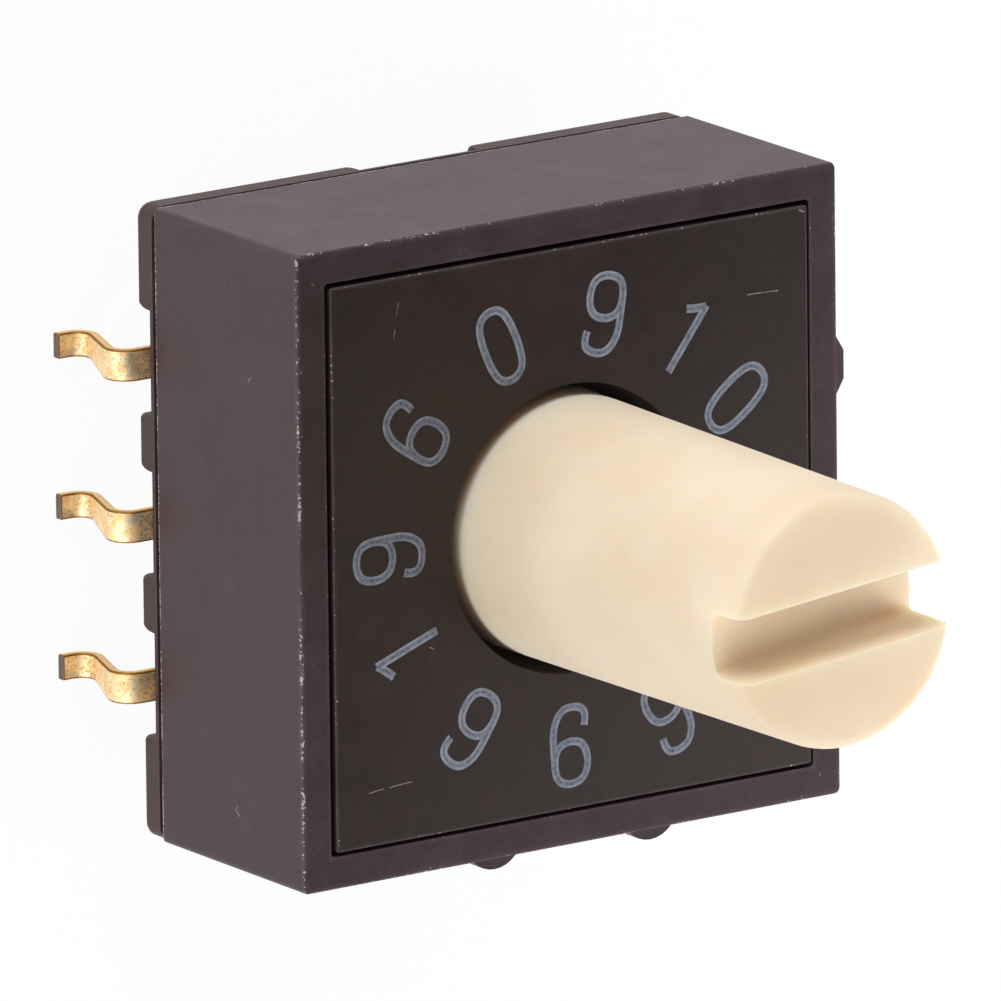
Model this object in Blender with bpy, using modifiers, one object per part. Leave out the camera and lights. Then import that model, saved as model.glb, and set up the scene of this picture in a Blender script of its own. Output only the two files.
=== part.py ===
# Rotary coded DIP switch, 10 mm square, twelve positions, with a long slotted shaft and gull-wing terminals.
# Metres, +Z along the shaft. The origin lies on the seating plane of the terminals, under the shaft's axis.
import math

import bmesh
import bpy
from mathutils import Matrix, Vector

MM = 0.001

# Heights, from the seating plane up
TERMINAL_STAND_OFF = 1.70 * MM  # underside of the terminals' shoulders above the seating plane
LIP_THICKNESS = 0.08 * MM
CASE_DEPTH = 3.82 * MM
PARTING_GAP = 0.08 * MM  # the line that shows between case and base
SEAM_GAP = 0.02 * MM  # every other line between two pieces that touch
RUN_GAP = 0.03 * MM  # every gap that a turning face runs in

# Case
CASE_WIDTH = 10.0 * MM
CASE_WALL = 0.58 * MM
FRONT_RIM = 0.51 * MM
CASE_CORNER = 0.10 * MM
CASE_EDGE = 0.035 * MM
LEDGE_WIDTH = 0.47 * MM
LEDGE_DEPTH = 0.30 * MM
PAD_DEPTH = 0.30 * MM
PAD_SET_BACK = 0.04 * MM
RIGHT_PAD_LENGTH = 0.95 * MM
RIGHT_PAD_FLAT = 0.45 * MM
RIGHT_PAD_PROUD = 0.15 * MM
RIGHT_PAD_OFFSET = 1.78 * MM
BOTTOM_PAD_LENGTH = 0.78 * MM
BOTTOM_PAD_PROUD = 0.17 * MM
BOTTOM_PAD_OFFSET = 1.45 * MM

# Dial plate
DIAL_GROOVE = 0.075 * MM
OPENING_CORNER = 0.06 * MM
DIAL_THICKNESS = 1.00 * MM
DIAL_PROUD = 0.06 * MM
DIAL_CORNER = 0.04 * MM
DIAL_EDGE = 0.025 * MM
DIAL_WEB = 0.28 * MM
BEARING_GAP = 0.20 * MM

# Shaft and rotor
SHAFT_RADIUS = 2.07 * MM
SHAFT_TIP_RADIUS = 1.97 * MM
SHAFT_LENGTH = 7.25 * MM  # from the rim of the case
SHAFT_TIP_EDGE = 0.22 * MM
SLOT_WIDTH = 1.03 * MM
SLOT_DEPTH = 0.95 * MM  # at the shaft's axis
SLOT_ANGLE = math.radians(5.7)
SLOT_FILLET = 0.12 * MM
SLOT_FLOOR_FALL = math.radians(6.0)  # the floor falls towards the slot's right end
DETENT_ROOM = 0.64 * MM  # between the cavity's wall and the detent disc
DISC_THICKNESS = 0.75 * MM
POSITIONS = 12
NOTCH_DEPTH = 0.20 * MM
NOTCH_SHARE = 0.62  # of the pitch between two positions
HUB_RADIUS = 0.95 * MM
PIVOT_RADIUS = 0.65 * MM
PIVOT_DEPTH = 0.36 * MM
STAKES = 3
STAKE_RADIUS = 0.17 * MM
STAKE_HEAD_RADIUS = 0.27 * MM
STAKE_HEAD = 0.06 * MM
TURNED_STEPS = 72
SMALL_TURNED_STEPS = 36
SEAL_SECTION_STEPS = 12
PIN_STEPS = 16
WELD = 0.001 * MM
SHARP_ANGLE = math.radians(35.0)  # edges sharper than this stay sharp in the shading

# Shaft seal and thrust washer
SEAL_SECTION = 0.66 * MM
WASHER_THICKNESS = 0.15 * MM
WASHER_WIDTH = 1.00 * MM

# Detent springs
SPRING_THICKNESS = 0.10 * MM
SPRING_HEIGHT = 0.48 * MM
SPRING_WALL_GAP = 0.06 * MM
SPRING_NOSE_WIDTH = 1.00 * MM
SPRING_NOSE_RISE = 0.36 * MM
SPRING_BEND = 0.14 * MM
SPRING_SEATED_LENGTH = 0.62 * MM

# Code disc
CODE_THICKNESS = 0.12 * MM
CODE_MARGIN = 0.16 * MM  # between the edges of the code disc and the detent disc
TRACK_PITCH = 0.25 * MM
TRACK_WINDOW = 0.17 * MM
FIRST_TRACK_OFFSET = 0.16 * MM  # radius of the first track beyond the terminals' pitch
COMMON_FINGER_GAP = 0.11 * MM  # between the hub and the tips of the common fingers
WINDOW_END_GAP = math.radians(1.5)
WINDOW_STEP = math.radians(6.0)

# Terminals
TERMINAL_INSET = 2.46 * MM  # outer terminals from the case's end walls, for the 2.54 mm pitch
TERMINAL_THICKNESS = 0.15 * MM
TERMINAL_WIDTH = 0.50 * MM
FOOT_WIDTH = 0.40 * MM
TOE_REACH = 0.54 * MM  # toe beyond the side of the case
HEEL_SET_BACK = 0.08 * MM  # bend between foot and riser inside the side of the case
SHOULDER_REACH = 0.62 * MM  # bend between riser and shoulder beyond the side of the case
FOOT_BEND_RADIUS = 0.28 * MM
BEND_RADIUS = 0.16 * MM
WEB_SET_BACK = 1.25 * MM  # vertical web inside the side of the case
FINGER_ROOT = 0.28 * MM
FINGER_TIP_WIDTH = 0.16 * MM
FINGER_CURL = 0.34 * MM
FINGER_CURL_DROP = 0.16 * MM

# Base and potting
BASE_THICKNESS = 0.70 * MM
BASE_CORNER = 0.24 * MM
BASE_EDGE = 0.07 * MM
RIM_HEIGHT = 0.34 * MM
RIM_WIDTH = 0.95 * MM
BASE_FOOT_LENGTH = 0.88 * MM  # of the raised edge between two terminals
MIDDLE_NOTCH = 2.20 * MM
POTTING_RECESS = 0.25 * MM
POTTING_COVER = 0.09 * MM
SPRING_SEAT_WIDTH = 0.62 * MM
SPRING_SEAT_WALL = 0.40 * MM

# Cutters run past what they cut by this much.
OVERRUN = 0.50 * MM

# Levels worked out from the sizes above
SHOULDER_BOTTOM = TERMINAL_STAND_OFF
SHOULDER_MIDDLE = SHOULDER_BOTTOM + TERMINAL_THICKNESS / 2
LIP_BOTTOM = SHOULDER_BOTTOM + TERMINAL_THICKNESS + SEAM_GAP
LIP_TOP = LIP_BOTTOM + LIP_THICKNESS
RIM_BOTTOM = LIP_BOTTOM - RIM_HEIGHT
BASE_FLOOR = LIP_BOTTOM + POTTING_RECESS
BASE_TOP = LIP_TOP + BASE_THICKNESS
CASE_BOTTOM = LIP_TOP + PARTING_GAP
CASE_TOP = CASE_BOTTOM + CASE_DEPTH
DIAL_TOP = CASE_TOP + DIAL_PROUD
DIAL_BOTTOM = DIAL_TOP - DIAL_THICKNESS
LEDGE_TOP = DIAL_BOTTOM - SEAM_GAP
LEDGE_BOTTOM = LEDGE_TOP - LEDGE_DEPTH
WASHER_TOP = DIAL_BOTTOM - SEAM_GAP
DISC_TOP = WASHER_TOP - WASHER_THICKNESS - RUN_GAP
DISC_BOTTOM = DISC_TOP - DISC_THICKNESS
CODE_TOP = DISC_BOTTOM - SEAM_GAP
CODE_BOTTOM = CODE_TOP - CODE_THICKNESS
CONTACT_HEIGHT = CODE_BOTTOM - SEAM_GAP - TERMINAL_THICKNESS / 2
PIVOT_BOTTOM = BASE_TOP - PIVOT_DEPTH
SHAFT_TOP = CASE_TOP + SHAFT_LENGTH
SPRING_TOP = LEDGE_BOTTOM - SEAM_GAP
SPRING_BOTTOM = SPRING_TOP - SPRING_HEIGHT

# Half widths worked out from the sizes above
CASE_HALF = CASE_WIDTH / 2
OPENING_HALF = CASE_HALF - FRONT_RIM
DIAL_HALF = OPENING_HALF - DIAL_GROOVE
CAVITY_HALF = CASE_HALF - CASE_WALL
LEDGE_HALF = OPENING_HALF - LEDGE_WIDTH
PLUG_HALF = CAVITY_HALF - SEAM_GAP
RIM_INNER_HALF = CASE_HALF - RIM_WIDTH
WEB_X = CASE_HALF - WEB_SET_BACK
BEARING_RADIUS = SHAFT_RADIUS + BEARING_GAP
SPRING_MIDDLE_Y = CAVITY_HALF - SPRING_WALL_GAP - SPRING_THICKNESS / 2
SPRING_END_X = CAVITY_HALF - SPRING_WALL_GAP
GLAND_RADIUS = SHAFT_RADIUS + SEAL_SECTION + 2 * SEAM_GAP

# Places of the terminals and radii of the rotor and its tracks, worked out from the sizes above
TERMINAL_PITCH = CASE_HALF - TERMINAL_INSET
TERMINAL_NOTCH = TERMINAL_PITCH - BASE_FOOT_LENGTH
DISC_RADIUS = CAVITY_HALF - DETENT_ROOM
CODE_RADIUS = DISC_RADIUS - CODE_MARGIN
FIRST_TRACK_RADIUS = TERMINAL_PITCH + FIRST_TRACK_OFFSET
COMMON_TRACK_RADIUS = HUB_RADIUS + FINGER_CURL + COMMON_FINGER_GAP
STAKE_CIRCLE = (COMMON_TRACK_RADIUS + FIRST_TRACK_RADIUS) / 2


def new_collection(name):
    collection = bpy.data.collections.new(name)
    bpy.context.scene.collection.children.link(collection)
    return collection


def clear_scene():
    for obj in list(bpy.data.objects):
        bpy.data.objects.remove(obj, do_unlink=True)


clear_scene()
PARTS = new_collection("rotary_dip_switch")
CUTTERS = new_collection("rotary_dip_switch_cutters")


def new_material(name, colour, roughness, metallic=0.0):
    material = bpy.data.materials.new(name)
    material.use_nodes = True
    shader = material.node_tree.nodes["Principled BSDF"]
    shader.inputs["Base Color"].default_value = (*colour, 1.0)
    shader.inputs["Roughness"].default_value = roughness
    shader.inputs["Metallic"].default_value = metallic
    return material


CASE_PLASTIC = new_material("glass_filled_case_plastic", (0.045, 0.037, 0.038), 0.55)
BASE_PLASTIC = new_material("glass_filled_base_plastic", (0.040, 0.034, 0.035), 0.60)
ROTOR_PLASTIC = new_material("ivory_rotor_plastic", (0.80, 0.70, 0.53), 0.45)
SEAL_RUBBER = new_material("nitrile_rubber", (0.02, 0.02, 0.02), 0.80)
POTTING_RESIN = new_material("epoxy_resin", (0.02, 0.02, 0.025), 0.30)
WASHER_STEEL = new_material("stainless_washer", (0.60, 0.60, 0.58), 0.35, 1.0)
SPRING_STEEL = new_material("stainless_spring_strip", (0.56, 0.55, 0.52), 0.30, 1.0)
GOLD_PLATE = new_material("gold_plated_brass", (0.75, 0.47, 0.15), 0.30, 1.0)


def add_object(name, mesh, collection, material=None):
    obj = bpy.data.objects.new(name, mesh)
    collection.objects.link(obj)
    if material:
        mesh.materials.append(material)
    if collection is CUTTERS:
        obj.hide_render = True
        obj.display_type = "WIRE"
    return obj


def mesh_from(shape, name):
    bmesh.ops.recalc_face_normals(shape, faces=shape.faces)
    mesh = bpy.data.meshes.new(name)
    shape.to_mesh(mesh)
    shape.free()
    mesh.shade_smooth()
    mesh.set_sharp_from_angle(angle=SHARP_ANGLE)
    return mesh


def box_shape(low, high):
    shape = bmesh.new()
    bmesh.ops.create_cube(shape, size=1.0)
    size = Vector(high) - Vector(low)
    middle = (Vector(high) + Vector(low)) / 2
    bmesh.ops.scale(shape, vec=size, verts=shape.verts)
    bmesh.ops.translate(shape, vec=middle, verts=shape.verts)
    return shape


def round_edges(shape, radius, segments, chosen):
    edges = [edge for edge in shape.edges if chosen(edge)]
    bmesh.ops.bevel(
        shape, geom=edges, offset=radius, offset_type="OFFSET", segments=segments, profile=0.5, affect="EDGES"
    )


def is_upright(edge):
    """Whether an edge runs along Z."""
    first, second = edge.verts
    return math.hypot(first.co.x - second.co.x, first.co.y - second.co.y) < abs(first.co.z - second.co.z)


def is_lengthwise(edge):
    """Whether an edge runs along X."""
    first, second = edge.verts
    return math.hypot(first.co.y - second.co.y, first.co.z - second.co.z) < abs(first.co.x - second.co.x)


def slab_shape(half, bottom, top, corner=0.0, segments=4):
    """A square slab centred on the axis, its upright edges rounded."""
    shape = box_shape((-half, -half, bottom), (half, half, top))
    if corner > 0.0:
        round_edges(shape, corner, segments, is_upright)
    return shape


def cylinder_shape(radius, bottom, top, segments, centre=(0.0, 0.0)):
    shape = bmesh.new()
    bmesh.ops.create_cone(
        shape, cap_ends=True, segments=segments, radius1=radius, radius2=radius, depth=top - bottom
    )
    bmesh.ops.translate(shape, vec=(centre[0], centre[1], (top + bottom) / 2), verts=shape.verts)
    return shape


def turned_shape(profile, segments, centre=(0.0, 0.0)):
    """A closed solid of (radius, height) points, top to bottom, turned about an upright axis."""
    shape = bmesh.new()
    verts = [shape.verts.new((radius, 0.0, height)) for radius, height in profile]
    edges = [shape.edges.new(pair) for pair in zip(verts, verts[1:])]
    bmesh.ops.spin(
        shape,
        geom=verts + edges,
        cent=(0, 0, 0),
        axis=(0, 0, 1),
        angle=2 * math.pi,
        steps=segments,
        use_merge=True,
    )
    bmesh.ops.remove_doubles(shape, verts=shape.verts, dist=WELD)
    bmesh.ops.translate(shape, vec=(centre[0], centre[1], 0.0), verts=shape.verts)
    return shape


def prism_shape(outline, bottom, top):
    """A flat outline of (x, y) points, extruded from bottom to top."""
    shape = bmesh.new()
    face = shape.faces.new([shape.verts.new((x, y, bottom)) for x, y in outline])
    grown = bmesh.ops.extrude_face_region(shape, geom=[face])
    moved = [item for item in grown["geom"] if isinstance(item, bmesh.types.BMVert)]
    bmesh.ops.translate(shape, vec=(0.0, 0.0, top - bottom), verts=moved)
    return shape


def join_shapes(shapes):
    """One mesh of several closed shapes that don't meet."""
    joined = bmesh.new()
    for shape in shapes:
        bmesh.ops.recalc_face_normals(shape, faces=shape.faces)
        part = bpy.data.meshes.new("joined_part")
        shape.to_mesh(part)
        shape.free()
        joined.from_mesh(part)
        bpy.data.meshes.remove(part)
    return joined


def add_part(name, shape, material):
    return add_object(name, mesh_from(shape, name), PARTS, material)


def add_boolean(target, operation, name, shape):
    """Cuts the shape from the target, or joins it to it."""
    cutter = add_object(name, mesh_from(shape, name), CUTTERS)
    modifier = target.modifiers.new(name, "BOOLEAN")
    modifier.operation = operation
    modifier.object = cutter
    modifier.solver = "EXACT"
    return cutter


def add_turned(name, profile, material, collection):
    """A profile of (radius, height) points, top to bottom, turned round the axis."""
    mesh = bpy.data.meshes.new(name)
    points = [(radius, 0.0, height) for radius, height in profile]
    mesh.from_pydata(points, [(index, index + 1) for index in range(len(points) - 1)], [])
    obj = add_object(name, mesh, collection, material)
    screw = obj.modifiers.new("turn", "SCREW")
    screw.steps = TURNED_STEPS
    screw.render_steps = TURNED_STEPS
    screw.use_merge_vertices = True
    screw.merge_threshold = WELD
    screw.use_smooth_shade = True
    return obj


def arc_points(centre, radius, start, end, steps):
    """Points of an arc about (x, y), from one angle in degrees to another."""
    points = []
    for step in range(steps + 1):
        angle = math.radians(start + (end - start) * step / steps)
        points.append((centre[0] + radius * math.cos(angle), centre[1] + radius * math.sin(angle)))
    return points


def rounded_path(corners, radii, steps=5):
    """A polyline through the corners, each inner corner rounded to its radius."""
    path = [Vector(corners[0])]
    for before, corner, after, radius in zip(corners, corners[1:], corners[2:], radii):
        corner = Vector(corner)
        back = (Vector(before) - corner).normalized()
        ahead = (Vector(after) - corner).normalized()
        half_angle = back.angle(ahead) / 2
        reach = radius / math.tan(half_angle)
        centre = corner + (back + ahead).normalized() * radius / math.sin(half_angle)
        start = corner + back * reach - centre
        end = corner + ahead * reach - centre
        for step in range(steps + 1):
            share = step / steps
            path.append(centre + start.slerp(end, share).normalized() * radius)
    path.append(Vector(corners[-1]))
    return path


def add_strip(name, path, widths, thickness, material, across):
    """A bent metal strip: the path gives its middle, and across the direction of its width."""
    shape = bmesh.new()
    across = Vector(across)
    rows = []
    for point, width in zip(path, widths):
        rows.append([shape.verts.new(point + across * width * side) for side in (-0.5, 0.5)])
    for first, second in zip(rows, rows[1:]):
        shape.faces.new((first[0], first[1], second[1], second[0]))
    mesh = bpy.data.meshes.new(name)
    shape.to_mesh(mesh)
    shape.free()
    obj = add_object(name, mesh, PARTS, material)
    solidify = obj.modifiers.new("thickness", "SOLIDIFY")
    solidify.thickness = thickness
    solidify.offset = 0.0
    solidify.use_even_offset = True
    return obj


def terminal_places():
    """Name, side of the case, and row along Y for each terminal."""
    return (
        ("terminal_bit_1", -1, 1),
        ("terminal_common_left", -1, 0),
        ("terminal_bit_4", -1, -1),
        ("terminal_bit_8", 1, 1),
        ("terminal_common_right", 1, 0),
        ("terminal_bit_2", 1, -1),
    )


BIT_ORDER = ("terminal_bit_1", "terminal_bit_2", "terminal_bit_4", "terminal_bit_8")


def contact_point(name, row):
    """Distances of a terminal's contact from the axis: along its finger, and from the axis in all."""
    if row == 0:
        return COMMON_TRACK_RADIUS, COMMON_TRACK_RADIUS
    radius = FIRST_TRACK_RADIUS + TRACK_PITCH * BIT_ORDER.index(name)
    return math.sqrt(max(radius**2 - TERMINAL_PITCH**2, 0.0)), radius


def pad_shapes():
    """The small pads by the front edge: two with slanted ends on the right side, two round ones below."""
    top = CASE_TOP - PAD_SET_BACK
    root = CASE_HALF - CASE_WALL / 2
    pads = []
    for offset in (-RIGHT_PAD_OFFSET, RIGHT_PAD_OFFSET):
        outline = [
            (root, offset - RIGHT_PAD_LENGTH / 2),
            (CASE_HALF, offset - RIGHT_PAD_LENGTH / 2),
            (CASE_HALF + RIGHT_PAD_PROUD, offset - RIGHT_PAD_FLAT / 2),
            (CASE_HALF + RIGHT_PAD_PROUD, offset + RIGHT_PAD_FLAT / 2),
            (CASE_HALF, offset + RIGHT_PAD_LENGTH / 2),
            (root, offset + RIGHT_PAD_LENGTH / 2),
        ]
        pads.append(prism_shape(outline, top - PAD_DEPTH, top))
    half = BOTTOM_PAD_LENGTH / 2
    radius = (half**2 + BOTTOM_PAD_PROUD**2) / (2 * BOTTOM_PAD_PROUD)
    spread = math.degrees(math.asin(half / radius))
    for offset in (-BOTTOM_PAD_OFFSET, BOTTOM_PAD_OFFSET):
        centre = (offset, radius - CASE_HALF - BOTTOM_PAD_PROUD)
        outline = arc_points(centre, radius, -90.0 - spread, -90.0 + spread, 8)
        outline += [(offset + half, -root), (offset - half, -root)]
        pads.append(prism_shape(outline, top - PAD_DEPTH, top))
    return pads


def build_housing():
    shape = slab_shape(CASE_HALF, CASE_BOTTOM, CASE_TOP, CASE_CORNER)
    round_edges(
        shape,
        CASE_EDGE,
        2,
        lambda edge: all(vert.co.z > CASE_TOP - CASE_EDGE for vert in edge.verts),
    )
    housing = add_part("housing", shape, CASE_PLASTIC)
    add_boolean(housing, "UNION", "add_side_pads", join_shapes(pad_shapes()))
    cavity = slab_shape(CAVITY_HALF, CASE_BOTTOM - OVERRUN, LEDGE_BOTTOM)
    add_boolean(housing, "DIFFERENCE", "cut_cavity", cavity)
    ledge = slab_shape(LEDGE_HALF, LEDGE_BOTTOM - OVERRUN, LEDGE_TOP + OVERRUN)
    add_boolean(housing, "DIFFERENCE", "cut_ledge", ledge)
    dial_seat = slab_shape(OPENING_HALF, LEDGE_TOP, CASE_TOP + OVERRUN, OPENING_CORNER)
    add_boolean(housing, "DIFFERENCE", "cut_dial_seat", dial_seat)
    return housing


def build_dial_plate():
    shape = slab_shape(DIAL_HALF, DIAL_BOTTOM, DIAL_TOP, DIAL_CORNER)
    round_edges(
        shape,
        DIAL_EDGE,
        2,
        lambda edge: all(vert.co.z > DIAL_TOP - DIAL_EDGE for vert in edge.verts),
    )
    plate = add_part("dial_plate", shape, CASE_PLASTIC)
    add_boolean(
        plate,
        "DIFFERENCE",
        "cut_bearing",
        cylinder_shape(BEARING_RADIUS, DIAL_BOTTOM - OVERRUN, DIAL_TOP + OVERRUN, TURNED_STEPS),
    )
    add_boolean(
        plate,
        "DIFFERENCE",
        "cut_seal_gland",
        cylinder_shape(GLAND_RADIUS, DIAL_BOTTOM - OVERRUN, DIAL_TOP - DIAL_WEB, TURNED_STEPS),
    )
    return plate


def build_shaft_seal():
    middle = SHAFT_RADIUS + SEAM_GAP + SEAL_SECTION / 2
    gland_middle = (DIAL_BOTTOM + DIAL_TOP - DIAL_WEB) / 2
    bpy.ops.mesh.primitive_torus_add(
        major_radius=middle,
        minor_radius=SEAL_SECTION / 2 - SEAM_GAP / 2,
        major_segments=TURNED_STEPS,
        minor_segments=SEAL_SECTION_STEPS,
        location=(0.0, 0.0, gland_middle),
    )
    seal = bpy.context.object
    seal.name = "shaft_seal"
    seal.data.name = "shaft_seal"
    seal.data.materials.append(SEAL_RUBBER)
    seal.data.shade_smooth()
    for owner in list(seal.users_collection):
        owner.objects.unlink(seal)
    PARTS.objects.link(seal)
    return seal


def build_thrust_washer():
    outer = SHAFT_RADIUS + WASHER_WIDTH
    shape = cylinder_shape(outer, WASHER_TOP - WASHER_THICKNESS, WASHER_TOP, TURNED_STEPS)
    washer = add_part("thrust_washer", shape, WASHER_STEEL)
    low = WASHER_TOP - WASHER_THICKNESS - OVERRUN
    bore = cylinder_shape(SHAFT_RADIUS + RUN_GAP, low, WASHER_TOP + OVERRUN, TURNED_STEPS)
    add_boolean(washer, "DIFFERENCE", "cut_washer_bore", bore)
    return washer


def notched_outline(radius, depth, count, share, first):
    """The outline of a disc with round-bottomed detent notches, the first one at the given angle."""
    outline = []
    pitch = 2 * math.pi / count
    steps = 12
    for notch in range(count):
        for step in range(steps):
            angle = first + pitch * (notch + step / steps - 0.5)
            across = abs(step / steps - 0.5) * 2
            dip = 0.0
            if across < share:
                dip = depth * math.cos(across / share * math.pi / 2) ** 2
            outline.append(((radius - dip) * math.cos(angle), (radius - dip) * math.sin(angle)))
    return outline


def stake_places():
    """Centres of the rotor's staked posts."""
    places = []
    for index in range(STAKES):
        angle = 2 * math.pi * index / STAKES + math.pi / 2
        places.append((STAKE_CIRCLE * math.cos(angle), STAKE_CIRCLE * math.sin(angle)))
    return places


def build_rotor():
    taper = (SHAFT_RADIUS - SHAFT_TIP_RADIUS) / SHAFT_LENGTH
    tip_centre = (SHAFT_TIP_RADIUS - SHAFT_TIP_EDGE, SHAFT_TOP - SHAFT_TIP_EDGE)
    tip_arc = arc_points(tip_centre, SHAFT_TIP_EDGE, 90, 0, 5)
    core = DISC_TOP - DISC_THICKNESS / 2
    hub_bottom = BASE_TOP + RUN_GAP
    profile = [(0.0, SHAFT_TOP)]
    profile += [(radius + taper * (SHAFT_TOP - height), height) for radius, height in tip_arc]
    profile += [
        (SHAFT_RADIUS, CASE_TOP),
        (SHAFT_RADIUS, core),
        (HUB_RADIUS, core),
        (HUB_RADIUS, hub_bottom),
        (PIVOT_RADIUS, hub_bottom),
        (PIVOT_RADIUS, PIVOT_BOTTOM + RUN_GAP),
        (0.0, PIVOT_BOTTOM + RUN_GAP),
    ]
    rotor = add_turned("rotor_shaft", profile, ROTOR_PLASTIC, PARTS)
    outline = notched_outline(DISC_RADIUS, NOTCH_DEPTH, POSITIONS, NOTCH_SHARE, math.pi / 2)
    add_boolean(rotor, "UNION", "add_detent_disc", prism_shape(outline, DISC_BOTTOM, DISC_TOP))
    head_top = CODE_BOTTOM - SEAM_GAP
    stake = [
        (0.0, DISC_BOTTOM + DISC_THICKNESS / 3),
        (STAKE_RADIUS, DISC_BOTTOM + DISC_THICKNESS / 3),
        (STAKE_RADIUS, head_top),
        (STAKE_HEAD_RADIUS, head_top),
        (STAKE_HEAD_RADIUS, head_top - STAKE_HEAD),
        (0.0, head_top - STAKE_HEAD),
    ]
    stakes = [turned_shape(stake, PIN_STEPS, place) for place in stake_places()]
    add_boolean(rotor, "UNION", "add_stakes", join_shapes(stakes))
    slot = box_shape(
        (-SHAFT_RADIUS - OVERRUN, -SLOT_WIDTH / 2, SHAFT_TOP - SLOT_DEPTH),
        (SHAFT_RADIUS + OVERRUN, SLOT_WIDTH / 2, SHAFT_TOP + OVERRUN),
    )
    floor = SHAFT_TOP - SLOT_DEPTH
    round_edges(slot, SLOT_FILLET, 3, lambda edge: is_lengthwise(edge) and edge.verts[0].co.z < floor + WELD)
    floor_middle = (0.0, 0.0, floor)
    turn = Matrix.Rotation(SLOT_ANGLE, 3, "Z") @ Matrix.Rotation(SLOT_FLOOR_FALL, 3, "Y")
    bmesh.ops.rotate(slot, cent=floor_middle, matrix=turn, verts=slot.verts)
    add_boolean(rotor, "DIFFERENCE", "cut_driver_slot", slot)
    return rotor


def build_detent_springs():
    nose = DISC_RADIUS - NOTCH_DEPTH + SEAM_GAP + SPRING_THICKNESS
    flank = nose + SPRING_NOSE_RISE
    height = (SPRING_TOP + SPRING_BOTTOM) / 2
    seat = SPRING_END_X - SPRING_SEATED_LENGTH
    corners = [
        (-SPRING_END_X, SPRING_MIDDLE_Y, height),
        (-seat, SPRING_MIDDLE_Y, height),
        (-SPRING_NOSE_WIDTH / 2, flank, height),
        (0.0, nose, height),
        (SPRING_NOSE_WIDTH / 2, flank, height),
        (seat, SPRING_MIDDLE_Y, height),
        (SPRING_END_X, SPRING_MIDDLE_Y, height),
    ]
    path = rounded_path(corners, [SPRING_BEND] * 5)
    widths = [SPRING_HEIGHT] * len(path)
    for index, turn in ((1, 0.0), (2, math.pi)):
        name = f"detent_spring_{index}"
        spring = add_strip(name, path, widths, SPRING_THICKNESS, SPRING_STEEL, (0.0, 0.0, 1.0))
        spring.rotation_euler = (0.0, 0.0, turn)


def ring_sector(inner, outer, start, end):
    """The outline of a ring's sector between two angles in radians."""
    steps = max(2, round((end - start) / WINDOW_STEP))
    outline = []
    for step in range(steps + 1):
        angle = start + (end - start) * step / steps
        outline.append((outer * math.cos(angle), outer * math.sin(angle)))
    for step in range(steps, -1, -1):
        angle = start + (end - start) * step / steps
        outline.append((inner * math.cos(angle), inner * math.sin(angle)))
    return outline


def off_runs(bit):
    """Runs of neighbouring positions where the bit is off, as (first position, how many)."""
    off = [not (position >> bit) & 1 for position in range(POSITIONS)]
    runs = []
    for position in range(POSITIONS):
        if off[position] and not off[position - 1]:
            length = 1
            while off[(position + length) % POSITIONS]:
                length += 1
            runs.append((position, length))
    return runs


def build_code_disc():
    disc = add_part("code_disc", cylinder_shape(CODE_RADIUS, CODE_BOTTOM, CODE_TOP, TURNED_STEPS), GOLD_PLATE)
    low = CODE_BOTTOM - OVERRUN
    high = CODE_TOP + OVERRUN
    holes = [cylinder_shape(HUB_RADIUS + SEAM_GAP, low, high, SMALL_TURNED_STEPS)]
    for place in stake_places():
        holes.append(cylinder_shape(STAKE_RADIUS + SEAM_GAP, low, high, PIN_STEPS, place))
    pitch = 2 * math.pi / POSITIONS
    for name, side, row in terminal_places():
        if row == 0:
            continue
        along, radius = contact_point(name, row)
        contact_angle = math.atan2(row * TERMINAL_PITCH, side * along)
        for first, count in off_runs(BIT_ORDER.index(name)):
            start = contact_angle - pitch * (first + count - 0.5) + WINDOW_END_GAP
            end = contact_angle - pitch * (first - 0.5) - WINDOW_END_GAP
            outline = ring_sector(radius - TRACK_WINDOW / 2, radius + TRACK_WINDOW / 2, start, end)
            holes.append(prism_shape(outline, low, high))
    add_boolean(disc, "DIFFERENCE", "cut_code_windows", join_shapes(holes))
    return disc


def terminal_width(point, along):
    """Narrower at the foot, full width to the root of the finger, then tapering to its tip."""
    if point.z < SHOULDER_BOTTOM / 2:
        return FOOT_WIDTH
    if point.x > WEB_X - BEND_RADIUS / 2:
        return TERMINAL_WIDTH
    taper = min(1.0, (WEB_X - point.x) / (WEB_X - along))
    return TERMINAL_WIDTH + (FINGER_TIP_WIDTH - TERMINAL_WIDTH) * taper


def build_terminals():
    for name, side, row in terminal_places():
        along, _ = contact_point(name, row)
        foot = TERMINAL_THICKNESS / 2
        corners = [
            (CASE_HALF + TOE_REACH, 0.0, foot),
            (CASE_HALF - HEEL_SET_BACK, 0.0, foot),
            (CASE_HALF + SHOULDER_REACH, 0.0, SHOULDER_MIDDLE),
            (WEB_X, 0.0, SHOULDER_MIDDLE),
            (WEB_X, 0.0, BASE_TOP + FINGER_ROOT),
            (along, 0.0, CONTACT_HEIGHT),
            (along - FINGER_CURL, 0.0, CONTACT_HEIGHT - FINGER_CURL_DROP),
        ]
        path = rounded_path(corners, [FOOT_BEND_RADIUS] * 2 + [BEND_RADIUS] * 3)
        widths = [terminal_width(point, along) for point in path]
        strip = add_strip(name, path, widths, TERMINAL_THICKNESS, GOLD_PLATE, (0.0, 1.0, 0.0))
        strip.location = (0.0, row * TERMINAL_PITCH, 0.0)
        strip.rotation_euler = (0.0, 0.0, 0.0 if side > 0 else math.pi)


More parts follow.
